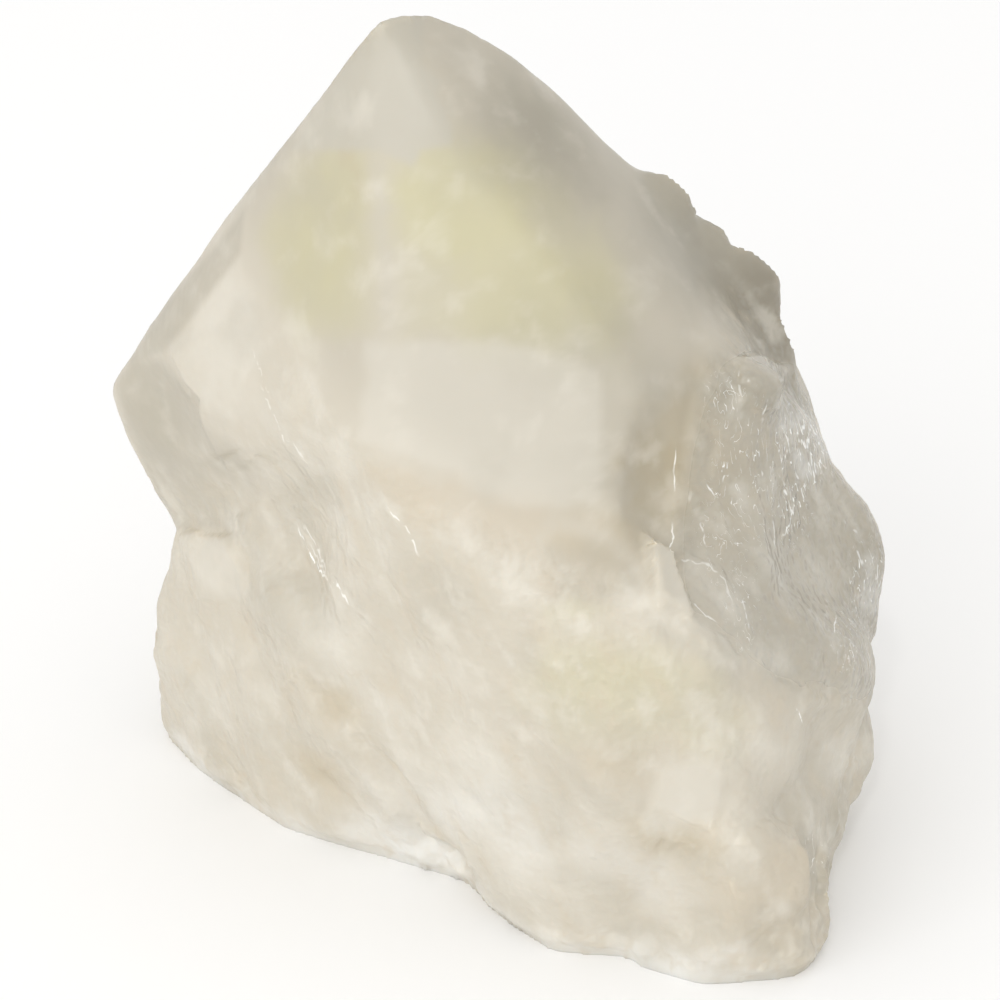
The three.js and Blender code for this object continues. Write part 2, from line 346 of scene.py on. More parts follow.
# Bands of another tint: tint, path in the camera's frame, half width in millimetres, strength.
BANDS = (
    # painted shade in the diagonal grooves, in the stain colour
    ("amber", ((300, 676), (328, 692), (356, 722), (371, 758), (393, 789), (428, 832)), 1.5, 0.2),
    ("amber", ((318, 772), (345, 792), (385, 822)), 1.4, 0.2),
    # painted shadow under the overhanging low shard, in the stain colour
    ("amber", ((690, 846), (660, 838), (640, 822)), 1.6, 0.3),
    ("amber", ((560, 545), (600, 556), (616, 580)), 1.6, 0.4),
    ("amber", ((590, 760), (640, 764), (660, 776)), 2.0, 0.12),
    # painted light along the crest of the long diagonal ridge
    ("white", ((262, 560), (300, 610), (350, 664), (392, 720), (430, 790), (466, 850)), 1.6, 0.5),
    ("white", ((190, 545), (222, 556), (236, 590)), 1.8, 0.25),
    ("white", ((172, 660), (186, 690), (200, 720)), 2.2, 0.4),
    ("white", ((640, 596), (668, 612), (700, 640)), 1.5, 0.5),
    # painted shade: a thin grey stroke along the standing shard's crisp right edge
    ("grey", ((672, 556), (682, 585), (694, 617)), 0.45, 0.7),
    ("grey", ((642, 540), (648, 575), (656, 600)), 0.4, 0.3),
    # painted shade: a thin grey stroke along the crisp ledge
    ("grey", ((694, 618), (722, 640), (756, 664), (792, 690), (815, 694)), 0.5, 0.45),
    ("amber", ((702, 376), (690, 420), (682, 470), (672, 520)), 2.2, 0.7),
    ("amber", ((588, 500), (606, 520), (636, 532)), 1.8, 0.45),
    ("grey", ((712, 392), (760, 402), (806, 404)), 3.2, 0.95),
    ("amber", ((706, 430), (728, 480), (738, 520)), 3.0, 0.35),
    ("grey", ((596, 360), (604, 420), (598, 480)), 3.0, 0.3),
    ("grey", ((668, 634), (704, 646)), 1.8, 0.5),
    ("white", ((728, 640), (750, 652), (776, 660)), 1.8, 0.5),
    # painted glints on the glassy fracture
    ("white", ((800, 570), (822, 584)), 2.4, 0.4),
    ("grey", ((718, 366), (704, 410), (697, 450), (690, 500), (681, 550)), 2.4, 0.7),
    # painted shade beside the lower lobe's crisp right edge
    ("grey", ((814, 828), (822, 852), (824, 890)), 1.3, 0.7),
    # painted shade along the lower edge of the chip at the top of the fracture
    ("grey", ((741, 404), (762, 416), (778, 414), (786, 392)), 0.6, 0.5),
    ("white", ((744, 362), (770, 364), (786, 370)), 0.6, 0.4),
    ("white", ((692, 572), (712, 592), (728, 622)), 1.6, 0.45),
    ("white", ((745, 496), (760, 540), (776, 562)), 1.8, 0.35),
    ("grey", ((670, 628), (700, 652)), 1.2, 0.6),
    # painted light: the glow of the thin lower rims
    ("bright", ((380, 786), (425, 812), (500, 806), (530, 850)), 3.2, 0.3),
    ("bright", ((590, 850), (640, 866), (664, 898)), 2.8, 0.25),
    # painted shade on the dark strip right of the chip, toward the rim that turns from the light
    ("grey", ((794, 368), (800, 392), (806, 410)), 1.4, 0.7),
    ("white", ((476, 790), (506, 812), (534, 850)), 4.0, 0.55),
    ("white", ((716, 742), (770, 752)), 2.4, 0.45),
    # painted glints: whitish patches where the glassy fracture glints
    ("bright", ((786, 424), (806, 416), (822, 432), (830, 452)), 0.9, 0.4),
    ("bright", ((800, 452), (808, 474)), 0.6, 0.5),
    ("bright", ((868, 560), (874, 590), (868, 606)), 0.7, 0.35),
    ("white", ((238, 352), (256, 400), (286, 440), (318, 470)), 1.2, 0.35),
    ("white", ((335, 440), (345, 470)), 1.2, 0.6),
    ("grey", ((236, 470), (252, 520), (262, 570), (280, 600)), 1.6, 0.25),
    ("grey", ((205, 470), (222, 505), (228, 530)), 1.8, 0.4),
    # painted light: the glow of the thin rim along the base
    ("bright", ((172, 742), (228, 790), (285, 826), (345, 846), (400, 858), (468, 884)), 1.1, 0.55),
    ("bright", ((350, 836), (430, 852), (462, 874)), 1.4, 0.4),
    ("bright", ((478, 888), (520, 930), (560, 946), (640, 962), (700, 978), (770, 976)), 1.2, 0.5),
    ("bright", ((640, 950), (690, 962), (740, 950)), 1.4, 0.4),
    ("white", ((826, 830), (833, 850)), 0.6, 0.6),
    # partly the stone's olive-brown, partly painted shade in the fold where the front face turns
    # into the fracture
    ("grey", ((655, 392), (648, 440), (652, 500), (660, 535)), 3.6, 0.45),
)
# Thin cracks, white in the stone and with painted glints along them, in layers of cracks that keep
# clear of each other. Each: its path in the camera's frame, and its strength.
CRACK_LAYERS = (
    (
        (((297, 525), (312, 553), (331, 582)), 0.9),
        (((252, 348), (262, 372), (272, 402)), 0.2),
        (((282, 426), (286, 441)), 0.35),
        (((294, 440), (308, 463)), 0.3),
        (((388, 505), (404, 520), (413, 537), (421, 557)), 0.5),
        (((677, 448), (673, 470), (674, 492)), 0.6),
        (((670, 522), (673, 540), (664, 558), (672, 562)), 0.6),
        (((706, 484), (713, 497)), 0.8),
        (((757, 447), (762, 480)), 0.7),
        (((778, 478), (790, 512), (781, 540)), 0.8),
        (((837, 615), (833, 636)), 0.8),
        (((857, 548), (864, 566)), 0.7),
        (((790, 705), (797, 722)), 0.8),
        (((688, 600), (700, 612), (716, 624)), 0.5),
    ),
    (
        (((302, 522), (318, 548), (332, 576)), 0.45),
        (((262, 384), (272, 410), (283, 432)), 0.25),
        (((669, 560), (706, 566), (722, 580), (732, 610)), 0.4),
        (((764, 398), (760, 420)), 0.6),
        (((726, 462), (722, 482)), 0.7),
        (((770, 520), (776, 548)), 0.7),
        (((335, 577), (349, 606)), 0.6),
        (((845, 520), (858, 534)), 0.5),
        (((796, 470), (804, 500)), 0.7),
        (((738, 372), (742, 398)), 0.4),
    ),
    (
        (((309, 540), (322, 562), (336, 590)), 0.35),
        (((742, 596), (748, 630)), 0.5),
        (((783, 430), (789, 452)), 0.8),
        (((806, 440), (812, 470)), 0.8),
        (((700, 520), (706, 548)), 0.5),
        (((876, 560), (880, 590)), 0.7),
    ),
)
# Clouds and veils in the stone, and clouds of painted shade and painted light: tint, centre, size
# (both in millimetres), softness, strength.
CLOUDS = (
    ("olive", (-19, -8, 76), (10, 12, 14), 0.8, 0.6),
    ("olive", (-16, -8, 83), (5, 10, 7), 0.7, 0.4),
    ("olive", (-3, -12, 83), (10, 9, 10), 0.6, 0.8),
    ("olive", (5, -17, 74), (14, 11, 10), 0.8, 0.8),
    ("peach", (-14.5, -8, 86), (1.2, 8, 8), 0.8, 0.6),
    # painted highlight: a pale streak along the worn ridge
    ("pale", (-11.3, -10, 80), (1.4, 9, 17), 0.9, 0.35),
    ("peach", (-9, -23, 55), (10, 8, 3.5), 0.8, 0.6),
    ("peach", (2, -26, 53), (10, 8, 3.5), 0.8, 0.6),
    ("peach", (9, -28, 48), (8, 8, 4), 0.8, 0.6),
    ("amber", (17, -21, 57), (5, 8, 11), 0.7, 0.8),
    ("olive", (8, -31, 44), (5, 6, 3), 0.8, 0.35),
    ("olive", (11, -33, 37), (13, 8, 7), 0.9, 0.4),
    ("olive", (23, -33, 30), (6, 8, 6), 0.9, 0.3),
    ("amber", (13, -34, 28), (5, 6, 5), 0.9, 0.2),
    ("white", (-3, -26, 20), (9, 10, 13), 0.8, 0.9),
    ("white", (4, -31, 8), (12, 10, 9), 0.9, 0.5),
    ("white", (-17, -13, 33), (6, 8, 12), 0.8, 0.6),
    ("grey", (-6, -25, 44), (8, 8, 6), 0.9, 0.35),
    ("white", (-5, -24, 33), (9, 8, 5), 0.9, 0.5),
    ("white", (20, -33, 24), (7, 5, 6), 0.95, 0.45),
    ("amber", (19, -34, 17), (7, 5, 3.5), 0.8, 0.3),
    ("peach", (29, -33, 12), (8, 8, 9), 0.6, 0.5),
    # painted shade in the crease along the left lobe, in the stain colour
    ("amber", (-17, -12, 22), (6, 7, 4), 0.9, 0.3),
    ("amber", (-20, -9, 12), (6, 6, 4), 0.9, 0.3),
    ("white", (-31, 2, 31), (5, 6, 5), 0.5, 0.4),
    ("white", (-29, -3, 63), (7, 7, 9), 0.5, 0.5),
    ("white", (-19, -14, 57), (2.6, 4, 2.2), 0.7, 0.6),
    ("grey", (-38, 8, 46), (9, 9, 13), 0.8, 0.6),
    ("grey", (-30, 0, 46), (4, 9, 7), 0.8, 0.6),
    ("grey", (-35, 5, 64), (6, 7, 11), 0.8, 0.3),
    ("grey", (31, -13, 47), (15, 15, 18), 0.8, 0.35),
    ("grey", (42, -6, 28), (8, 14, 18), 0.5, 0.6),
    # painted shade: these three clouds darken the top right rim, which turns away from the key
    # light
    ("grey", (24, 2, 70), (20, 17, 22), 0.9, 0.95),
    ("smoke", (32, 3, 64), (14, 12, 20), 0.95, 0.95),
    ("smoke", (24, 1, 72), (12, 11, 14), 0.95, 0.25),
    ("grey", (6, -4, 87), (18, 14, 13), 0.95, 1.0),
    ("grey", (6, -17, 71), (11, 9, 11), 0.95, 0.6),
    ("white", (-30, 4, 14), (8, 9, 8), 0.8, 0.5),
    ("white", (37, -18, 19), (5, 6, 3), 0.5, 0.6),
    ("grey", (38, -18, 9), (6, 9, 8), 0.5, 0.6),
    # painted light: the glow of the thin rims near the base
    ("bright", (-10, -14, 4), (12, 9, 6), 0.9, 0.75),
    ("bright", (17, -34, 1), (10, 8, 5), 0.9, 0.8),
)


# ---- values for each point, from its place in the camera's frame ----


def eased(values, start, end):
    """0 before start and 1 past end, with a smooth rise between."""
    t = np.clip((values - start) / (end - start), 0.0, 1.0)
    return t * t * (3 - 2 * t)


def along_path(places, path):
    """Distance from a path, the signed side (right of its direction is positive) and the share
    of its length that each place has reached."""
    corners = np.array(path, float)
    lengths = np.linalg.norm(np.diff(corners, axis=0), axis=1)
    nearest = np.full(len(places), np.inf)
    side = np.ones(len(places))
    reached = np.zeros(len(places))
    done = 0.0
    for start, end, length in zip(corners[:-1], corners[1:], lengths):
        along = (end - start) / length
        offset = places - start
        t = np.clip(offset @ along, 0, length)
        away = np.linalg.norm(offset - t[:, None] * along, axis=1)
        cross = along[0] * offset[:, 1] - along[1] * offset[:, 0]
        closer = away < nearest
        nearest[closer] = away[closer]
        side[closer] = np.sign(cross[closer])
        reached[closer] = (done + t[closer]) / lengths.sum()
        done += length
    return nearest * PIXEL, side, reached


def near_path(places, path, width):
    """1 on a path, fading to 0 beside it within about its width in millimetres."""
    away, _, _ = along_path(places, path)
    return np.exp(-((away / (width * MM)) ** 2))


def faded_ends(reached, fade=END_FADE):
    """1 along a path, falling to 0 over a share of its length at each end."""
    return eased(reached, -PAST_END, fade) * (1 - eased(reached, 1 - fade, 1 + PAST_END))


def swell(places, path, width, height):
    """A ridge or a groove: a soft rise or fall along a path."""
    away, _, reached = along_path(places, path)
    return height * MM * np.exp(-((away / (width * MM)) ** 2)) * faded_ends(reached)


def step(places, path, reach, height):
    """A ledge: the ground steps up at the path and falls back to its old height over reach."""
    away, side, reached = along_path(places, path)
    signed = away * side
    rise = eased(signed, -LEDGE_EDGE * MM, LEDGE_EDGE * MM)
    fall = np.exp(-np.maximum(signed, 0) / (reach * MM))
    return height * MM * rise * fall * faded_ends(reached)


def in_outline(places, outline, blur):
    """1 inside a closed outline in the camera's frame and 0 outside, blurred in millimetres."""
    corners = np.array(outline, float)
    away, _, _ = along_path(places, outline + outline[:1])
    crossings = np.zeros(len(places), int)
    for start, end in zip(corners, np.roll(corners, -1, axis=0)):
        spans = (start[1] > places[:, 1]) != (end[1] > places[:, 1])
        drop = end[1] - start[1] or 1.0
        reach = start[0] + (places[:, 1] - start[1]) / drop * (end[0] - start[0])
        crossings += spans & (places[:, 0] < reach)
    signed = np.where(crossings % 2 == 1, away, -away)
    return eased(signed, -blur * MM, blur * MM)


def frayed(places, points, reach):
    """The places, each pushed aside by a smooth noise, so that outlines there turn ragged."""
    noise.seed_set(FRAY_SEED)
    fine = points / (FRAY_SIZE * MM)
    pushes = np.array([noise.turbulence_vector(point, 2, False) for point in fine.tolist()])
    return places + pushes[:, :2] * reach / PIXEL


def in_ovals(places, ovals, fade=OVAL_FADE):
    """The strength of the oval that each place lies in, fading to 0 at the oval's rim."""
    most = np.zeros(len(places))
    for centre, size, strength in ovals:
        share = np.linalg.norm((places - centre) / size, axis=1)
        most = np.maximum(most, strength * (1 - eased(share, *fade)))
    return most


def shard(places, outline, height):
    """A flat shard: highest at its first corner, with a sharp edge all round."""
    reach = np.linalg.norm(places - outline[0], axis=1)
    longest = max(math.dist(outline[0], corner) for corner in outline)
    lean = 1 - SHARD_LEAN * np.clip(reach / longest, 0, 1)
    return height * MM * lean * in_outline(places, outline, SHARD_EDGE)


def crack_layer(places, cracks):
    """The signed distance across the nearest crack in millimetres, and its strength."""
    nearest = np.full(len(places), np.inf)
    across = np.full(len(places), CRACK_REACH)
    strength = np.zeros(len(places))
    for path, power in cracks:
        away, side, reached = along_path(places, path)
        closer = away < nearest
        nearest[closer] = away[closer]
        across[closer] = (away * side / MM)[closer]
        near = 1 - eased(away, CRACK_NEAR * CRACK_REACH * MM, CRACK_REACH * MM)
        strength[closer] = (power * faded_ends(reached, CRACK_FADE) * near)[closer]
    return np.clip(across, -CRACK_REACH, CRACK_REACH), strength


# ---- meshes as arrays ----


def read(items, name, width, kind=float):
    """One property of all of a mesh's items, a row for each."""
    values = np.empty(len(items) * width, kind)
    items.foreach_get(name, values)
    return values.reshape(-1, width)


def points_of(mesh):
    return read(mesh.vertices, "co", 3)


def normals_of(mesh):
    return read(mesh.vertex_normals, "vector", 3)


def set_points(mesh, points):
    mesh.vertices.foreach_set("co", points.ravel())
    mesh.update()


def neighbour_mean(values, edges):
    """The mean of each point's neighbours' rows."""
    count = len(values)
    total = np.zeros_like(values)
    for column in range(values.shape[1]):
        total[:, column] = np.bincount(edges[:, 0], values[edges[:, 1], column], count)
        total[:, column] += np.bincount(edges[:, 1], values[edges[:, 0], column], count)
    links = np.bincount(edges.ravel(), minlength=count)
    return total / links[:, None]


def relaxed(values, edges, passes, share):
    """Draws each row halfway to its neighbours' mean in each pass, times its point's share."""
    strength = (HALFWAY * share)[:, None]
    for _ in range(passes):
        values = values + (neighbour_mean(values, edges) - values) * strength
    return values


def store(mesh, name, values):
    attribute = mesh.attributes.new(name, "FLOAT", "POINT")
    attribute.data.foreach_set("value", values.astype(np.float32))


def over_limit(points):
    """Height above the front's lower limit of the polish, in millimetres."""
    x, _, z = (points / MM).T
    limits = np.array(FRONT_POLISH_LIMIT)
    return z - np.interp(x, limits[:, 0], limits[:, 1])


def polish_of(points):
    """1 on the polished faces and 0 on the broken sides."""
    _, y, z = (points / MM).T
    behind = eased(y, BACK_STARTS - BACK_BLEND, BACK_STARTS + BACK_BLEND)
    front = eased(over_limit(points), *FRONT_EDGE)
    back = eased(z - BACK_POLISH_LIMIT, *BACK_EDGE)
    return front * (1 - behind) + back * behind


def above_base(points):
    """0 at the base and 1 a little above it, so that the sawn rim keeps its place."""
    low, high = BASE_EDGE
    return eased(points[:, 2], low * MM, high * MM)


def inside(points, zones):
    """1 inside any of the zones, each an ellipsoid of centre and size, and 0 outside."""
    return in_ovals(points / MM, [(*zone, 1) for zone in zones], ZONE_FADE)


# ---- node trees ----


def add_node(tree, kind, settings=None, inputs=None):
    """Adds a node, sets its properties, and fills its inputs with values or links."""
    made = tree.nodes.new(kind)
    for name, value in (settings or {}).items():
        setattr(made, name, value)
    for name, value in (inputs or {}).items():
        if isinstance(value, bpy.types.NodeSocket):
            tree.links.new(value, made.inputs[name])
        else:
            made.inputs[name].default_value = value
    return made


def math_node(tree, operation, a, b=0.0):
    return add_node(tree, "ShaderNodeMath", {"operation": operation}, {0: a, 1: b}).outputs[0]


def times(tree, first, *others):
    for other in others:
        first = math_node(tree, "MULTIPLY", first, other)
    return first


def plus(tree, first, *others):
    for other in others:
        first = math_node(tree, "ADD", first, other)
    return first


def vector_node(tree, operation, a, b=(0, 0, 0), output="Vector"):
    made = add_node(tree, "ShaderNodeVectorMath", {"operation": operation}, {0: a, 1: b})
    return made.outputs[output]


def vector_scaled(tree, vector, scale):
    made = add_node(tree, "ShaderNodeVectorMath", {"operation": "SCALE"},
                    {0: vector, "Scale": scale})
    return made.outputs[0]


def along_grain(tree, place, stretch):
    """The place with the grain of the broken sides turned upright, and then stretched."""
    turned = add_node(tree, "ShaderNodeVectorRotate", {"rotation_type": "Y_AXIS"},
                      {"Vector": place, "Angle": FLOW_ANGLE}).outputs[0]
    return vector_node(tree, "MULTIPLY", turned, stretch)


def tilted_cells(tree, place, seed):
    """Flat cells about one unit across, each tilted its own way, like the faces of a break."""
    warp = add_node(tree, "ShaderNodeTexNoise", {"noise_dimensions": "4D"},
                    {"Vector": place, "W": seed, "Scale": 1.3, "Detail": 2.0})
    warp = vector_scaled(tree, vector_node(tree, "SUBTRACT", warp.outputs[1], (0.5,) * 3), 0.9)
    warped = vector_node(tree, "ADD", place, warp)
    cells = add_node(tree, "ShaderNodeTexVoronoi", {"feature": "SMOOTH_F1"},
                     {"Vector": warped, "Scale": 1.0, "Smoothness": 0.15})
    offset = vector_node(tree, "SUBTRACT", warped, cells.outputs["Position"])
    tilt = vector_node(tree, "SUBTRACT", cells.outputs["Color"], (0.5,) * 3)
    return vector_node(tree, "DOT_PRODUCT", offset, tilt, output="Value")


def ranged(tree, value, low, high, to_low=0.0, to_high=1.0, kind="SMOOTHSTEP"):
    inputs = {"Value": value, "From Min": low, "From Max": high,
              "To Min": to_low, "To Max": to_high}
    return add_node(tree, "ShaderNodeMapRange", {"interpolation_type": kind}, inputs).outputs[0]


def mixed(tree, factor, a, b, blend="MIX"):
    made = add_node(tree, "ShaderNodeMix", {"data_type": "RGBA", "blend_type": blend},
                    {0: factor, 6: a, 7: b})
    return made.outputs[2]


def noise_node(tree, place, size, detail, roughness=0.5, warp=0.0, output=0):
    """Noise whose features are about size across, in the unit of place."""
    inputs = {"Vector": place, "Scale": 1 / size, "Detail": detail, "Roughness": roughness,
              "Distortion": warp}
    return add_node(tree, "ShaderNodeTexNoise", None, inputs).outputs[output]


def named(tree, name):
    """A value that the mesh carries under a name, for Geometry Nodes."""
    made = add_node(tree, "GeometryNodeInputNamedAttribute",
                    {"data_type": "FLOAT"}, {"Name": name})
    return made.outputs["Attribute"]


def new_tree(name, inputs, output):
    """A node group, its inputs' sockets and the node that it leaves by. The inputs are pairs of
    a name and a type."""
    tree = bpy.data.node_groups.new(name, "GeometryNodeTree")
    for label, kind in inputs:
        tree.interface.new_socket(label, in_out="INPUT", socket_type=kind)
    tree.interface.new_socket(output[0], in_out="OUTPUT", socket_type=output[1])
    entry = tree.nodes.new("NodeGroupInput")
    return tree, entry.outputs, tree.nodes.new("NodeGroupOutput")


def surface_tree(name, labels):
    """A tree that takes and gives a piece's geometry, with a number input for each label."""
    geometry = ("Geometry", "NodeSocketGeometry")
    numbers = tuple((label, "NodeSocketFloat") for label in labels)
    return new_tree(name, (geometry, *numbers), geometry)


def finish_tree(tree, geometry, material, leave):
    """Ends a Geometry Nodes tree with real geometry and its material."""
    real = add_node(tree, "GeometryNodeRealizeInstances", None, {"Geometry": geometry})
    done = add_node(tree, "GeometryNodeSetMaterial", None,
                    {"Geometry": real.outputs["Geometry"], "Material": material})
    tree.links.new(done.outputs["Geometry"], leave.inputs["Geometry"])


def run_nodes(piece, tree, settings):
    """Runs a Geometry Nodes tree on a piece and keeps the result as its plain mesh. Each number
    input takes the setting of the same name."""
    modifier = piece.modifiers.new(tree.name, "NODES")
    modifier.node_group = tree
    for item in tree.interface.items_tree:
        if item.in_out == "INPUT" and item.socket_type == "NodeSocketFloat":
            modifier[item.identifier] = getattr(settings, item.name.lower().replace(" ", "_"))
    keep_evaluated(piece)


def linked(context, name, data):
    """A new object in the scene's own collection."""
    made = bpy.data.objects.new(name, data)
    context.scene.collection.objects.link(made)
    return made


def keep_evaluated(piece):
    """Replaces a piece's mesh with its evaluated one and removes its modifiers."""
    bpy.context.view_layer.update()
    evaluated = piece.evaluated_get(bpy.context.evaluated_depsgraph_get())
    mesh = bpy.data.meshes.new_from_object(evaluated)
    piece.modifiers.clear()
    piece.data = mesh


# ---- the stone's surface and colours ----


def broken_surface_tree(material):
    """Geometry Nodes: uneven ground and flat chips on the broken sides, and the steep
    splinters of the glassy fracture."""
    tree, sizes, leave = surface_tree("Broken surface", (
        "Swell Height", "Swell Size", "Step Height", "Step Size", "Splinter Tilt",
        "Splinter Size", "Patch Size", "Crease Height", "Crease Size", "Crumble Height",
        "Grain Height", "Grain Size", "Seed"))
    place = tree.nodes.new("GeometryNodeInputPosition").outputs[0]
    normal = tree.nodes.new("GeometryNodeInputNormal").outputs[0]
    broken = named(tree, "broken")
    glassy = named(tree, "glassy")

    def scaled_place(size, stretch):
        drawn = along_grain(tree, place, stretch)
        return vector_scaled(tree, drawn, math_node(tree, "DIVIDE", 1.0, size))

    def uneven(size, detail, stretch=(1, 1, 1)):
        made = add_node(tree, "ShaderNodeTexNoise", {"noise_dimensions": "4D"},
                        {"Vector": scaled_place(size, stretch), "W": sizes["Seed"],
                         "Scale": 1.0, "Detail": detail})
        return math_node(tree, "SUBTRACT", made.outputs[0], 0.5)

    swells = times(tree, sizes["Swell Height"], uneven(sizes["Swell Size"], 1.5, (1, 1, 0.6)))
    fold = math_node(tree, "ABSOLUTE", uneven(sizes["Crease Size"], 1.0, (1, 1, 0.4)))
    fold = times(tree, fold, sizes["Crease Height"])

    crumble = times(tree, sizes["Crumble Height"], named(tree, "crumbly"))
    coarse = plus(tree, sizes["Grain Height"], crumble)
    grain = times(tree, coarse, uneven(sizes["Grain Size"], 3.0))

    level = times(tree, uneven(sizes["Step Size"], 1.5), STEP_COUNT)
    riser = ranged(tree, math_node(tree, "FRACT", level), 0.85, 1.0)
    stairs = plus(tree, math_node(tree, "FLOOR", level), riser)
    stairs = times(tree, stairs, sizes["Step Height"])

    calmed = math_node(tree, "SUBTRACT", 1.0, times(tree, glassy, GLASSY_CALM))
    ground = times(tree, plus(tree, swells, fold, grain, stairs), broken, calmed)

    cells = tilted_cells(tree, scaled_place(sizes["Splinter Size"], (1, 1, 0.45)), sizes["Seed"])
    patch = ranged(tree, uneven(sizes["Patch Size"], 1.0), -0.1, 0.2)
    glinting = ranged(tree, named(tree, "sparkle"), 0.0, 0.8, 0.2, 1.0)
    splinters = times(tree, sizes["Splinter Size"], sizes["Splinter Tilt"], cells)
    splinters = times(tree, patch, glassy, glinting, splinters)

    moved = add_node(tree, "GeometryNodeSetPosition", None,
                     {"Geometry": sizes["Geometry"],
                      "Offset": vector_scaled(tree, normal, plus(tree, ground, splinters))})
    finish_tree(tree, moved.outputs["Geometry"], material, leave)
    return tree


def cloud_group():
    """Node group: its strength inside an ellipsoid and 0 outside, with a soft edge."""
    tree, given, leave = new_tree("Cloud", (
        ("Place", "NodeSocketVector"), ("Centre", "NodeSocketVector"),
        ("Size", "NodeSocketVector"), ("Softness", "NodeSocketFloat"),
        ("Strength", "NodeSocketFloat")), ("Amount", "NodeSocketFloat"))
    offset = vector_node(tree, "SUBTRACT", given["Place"], given["Centre"])
    share = vector_node(tree, "DIVIDE", offset, given["Size"])
    distance = vector_node(tree, "LENGTH", share, output="Value")
    inner = math_node(tree, "SUBTRACT", 1.0, given["Softness"])
    amount = ranged(tree, distance, inner, 1.0, 1.0, 0.0)
    tree.links.new(times(tree, amount, given["Strength"]), leave.inputs["Amount"])
    return tree


def cloud_tree(material, finish):
    """Geometry Nodes: gives the mesh its colour, cloud by cloud, as the tint attribute: the stone's
    own colour, with painted shade and light among the clouds and sheets.
    """
    tree, given, leave = surface_tree(
        "Clouds in the stone", ("Drift", "Fine Drift", "Veils", "Mottling"))
    where = tree.nodes.new("GeometryNodeInputPosition").outputs[0]
    place = vector_scaled(tree, where, 1 / MM)

    def drift(kind, amount):
        centred = vector_node(tree, "SUBTRACT", noise_node(tree, place, *kind, output=1),
                              (0.5, 0.5, 0.5))
        return vector_scaled(tree, centred, amount)

    def tinted(colour, amount, tint, blend="MIX"):
        return mixed(tree, amount, colour, (*getattr(finish, tint), 1.0), blend)

    def flecked(colour, value, spans, *amounts):
        """Lays a tint over the colour where a noise lies past each span."""
        for low, high, tint in spans:
            colour = tinted(colour, times(tree, ranged(tree, value, low, high), *amounts), tint)
        return colour

    wandering = vector_node(tree, "ADD", place, drift(WIDE_DRIFT, given["Drift"]))
    wandering = vector_node(tree, "ADD", wandering, drift(FINE_DRIFT, given["Fine Drift"]))
    group = cloud_group()
    colour = (*finish.milk, 1.0)
    for tint, centre, size, softness, strength in CLOUDS:
        made = add_node(tree, "GeometryNodeGroup", {"node_tree": group},
                        {"Place": wandering, "Centre": centre, "Size": size,
                         "Softness": softness, "Strength": strength})
        colour = tinted(colour, made.outputs[0], tint)
    for tint in SHEET_TINTS:
        colour = tinted(colour, named(tree, "sheet_" + tint), tint)

    # the polished end is clearer, so darker
    colour = tinted(colour, 1.0, "body_tint", "MULTIPLY")
    clear = tinted(colour, 1.0, "clear_tint", "MULTIPLY")
    colour = mixed(tree, named(tree, "clear"), colour, clear)

    # flecks of the broken stone, drawn out along its grain, and grains where it crumbles
    mottle = noise_node(tree, along_grain(tree, place, (1, 1, 0.5)), *MOTTLE)
    colour = flecked(colour, mottle, ((0.5, 0.7, "white"), (0.5, 0.26, "peach")),
                     named(tree, "broken"), given["Mottling"])
    grains = noise_node(tree, place, *GRAINS)
    colour = flecked(colour, grains, ((0.52, 0.7, "white"), (0.5, 0.34, "peach")),
                     named(tree, "crumbly"), given["Mottling"])

    # veils: faint paler and darker streaks all through
    veil = noise_node(tree, place, *VEILS)
    colour = flecked(colour, veil, ((0.5, 0.75, "white"),), given["Veils"])
    dusk = noise_node(tree, place, *DUSK)
    colour = flecked(colour, dusk, ((0.5, 0.75, "grey"),), given["Veils"])

    stored = add_node(tree, "GeometryNodeStoreNamedAttribute",
                      {"data_type": "FLOAT_COLOR", "domain": "POINT"},
                      {"Geometry": given["Geometry"], "Name": "tint", "Value": colour})
    finish_tree(tree, stored.outputs["Geometry"], material, leave)
    return tree


def linear(red, green, blue):
    """A colour given in steps of 255, as the shader's linear values."""
    shares = (red / 255, green / 255, blue / 255)
    return tuple(
        s / 12.92 if s <= 0.04045 else ((s + 0.055) / 1.055) ** 2.4 for s in shares
    )


